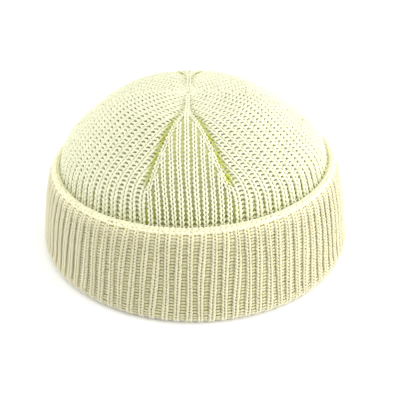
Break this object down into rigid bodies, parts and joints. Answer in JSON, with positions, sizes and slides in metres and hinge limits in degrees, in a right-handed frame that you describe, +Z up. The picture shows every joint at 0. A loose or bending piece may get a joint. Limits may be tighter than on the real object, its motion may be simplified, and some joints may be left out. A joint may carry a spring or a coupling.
{
  "type": "rib-knit beanie with a turned-up cuff",
  "caption": "Short rib-knit beanie with a deep turned-up cuff, gored crown with darts that meet in a small star, and an open hollow for the head.",
  "frame": {"origin": "middle of the hem, on the surface that the hat rests on", "axes": "+Z up from the hem to the apex, -Y towards the front of the hat, +X to the right in the front view"},
  "size_m": [0.184, 0.184, 0.0902],
  "materials": {
    "crown_knit": "pale lemon-cream rib knit in soft matt yarn, with a light stitch column on each rib and dark grooves between",
    "cuff_knit": "the same pale lemon-cream yarn, in broader upright ribs with a rounded rim"
  },
  "bodies": {
    "root": {"crown": "crown_knit", "cuff": "cuff_knit"}
  },
  "joints": []
}
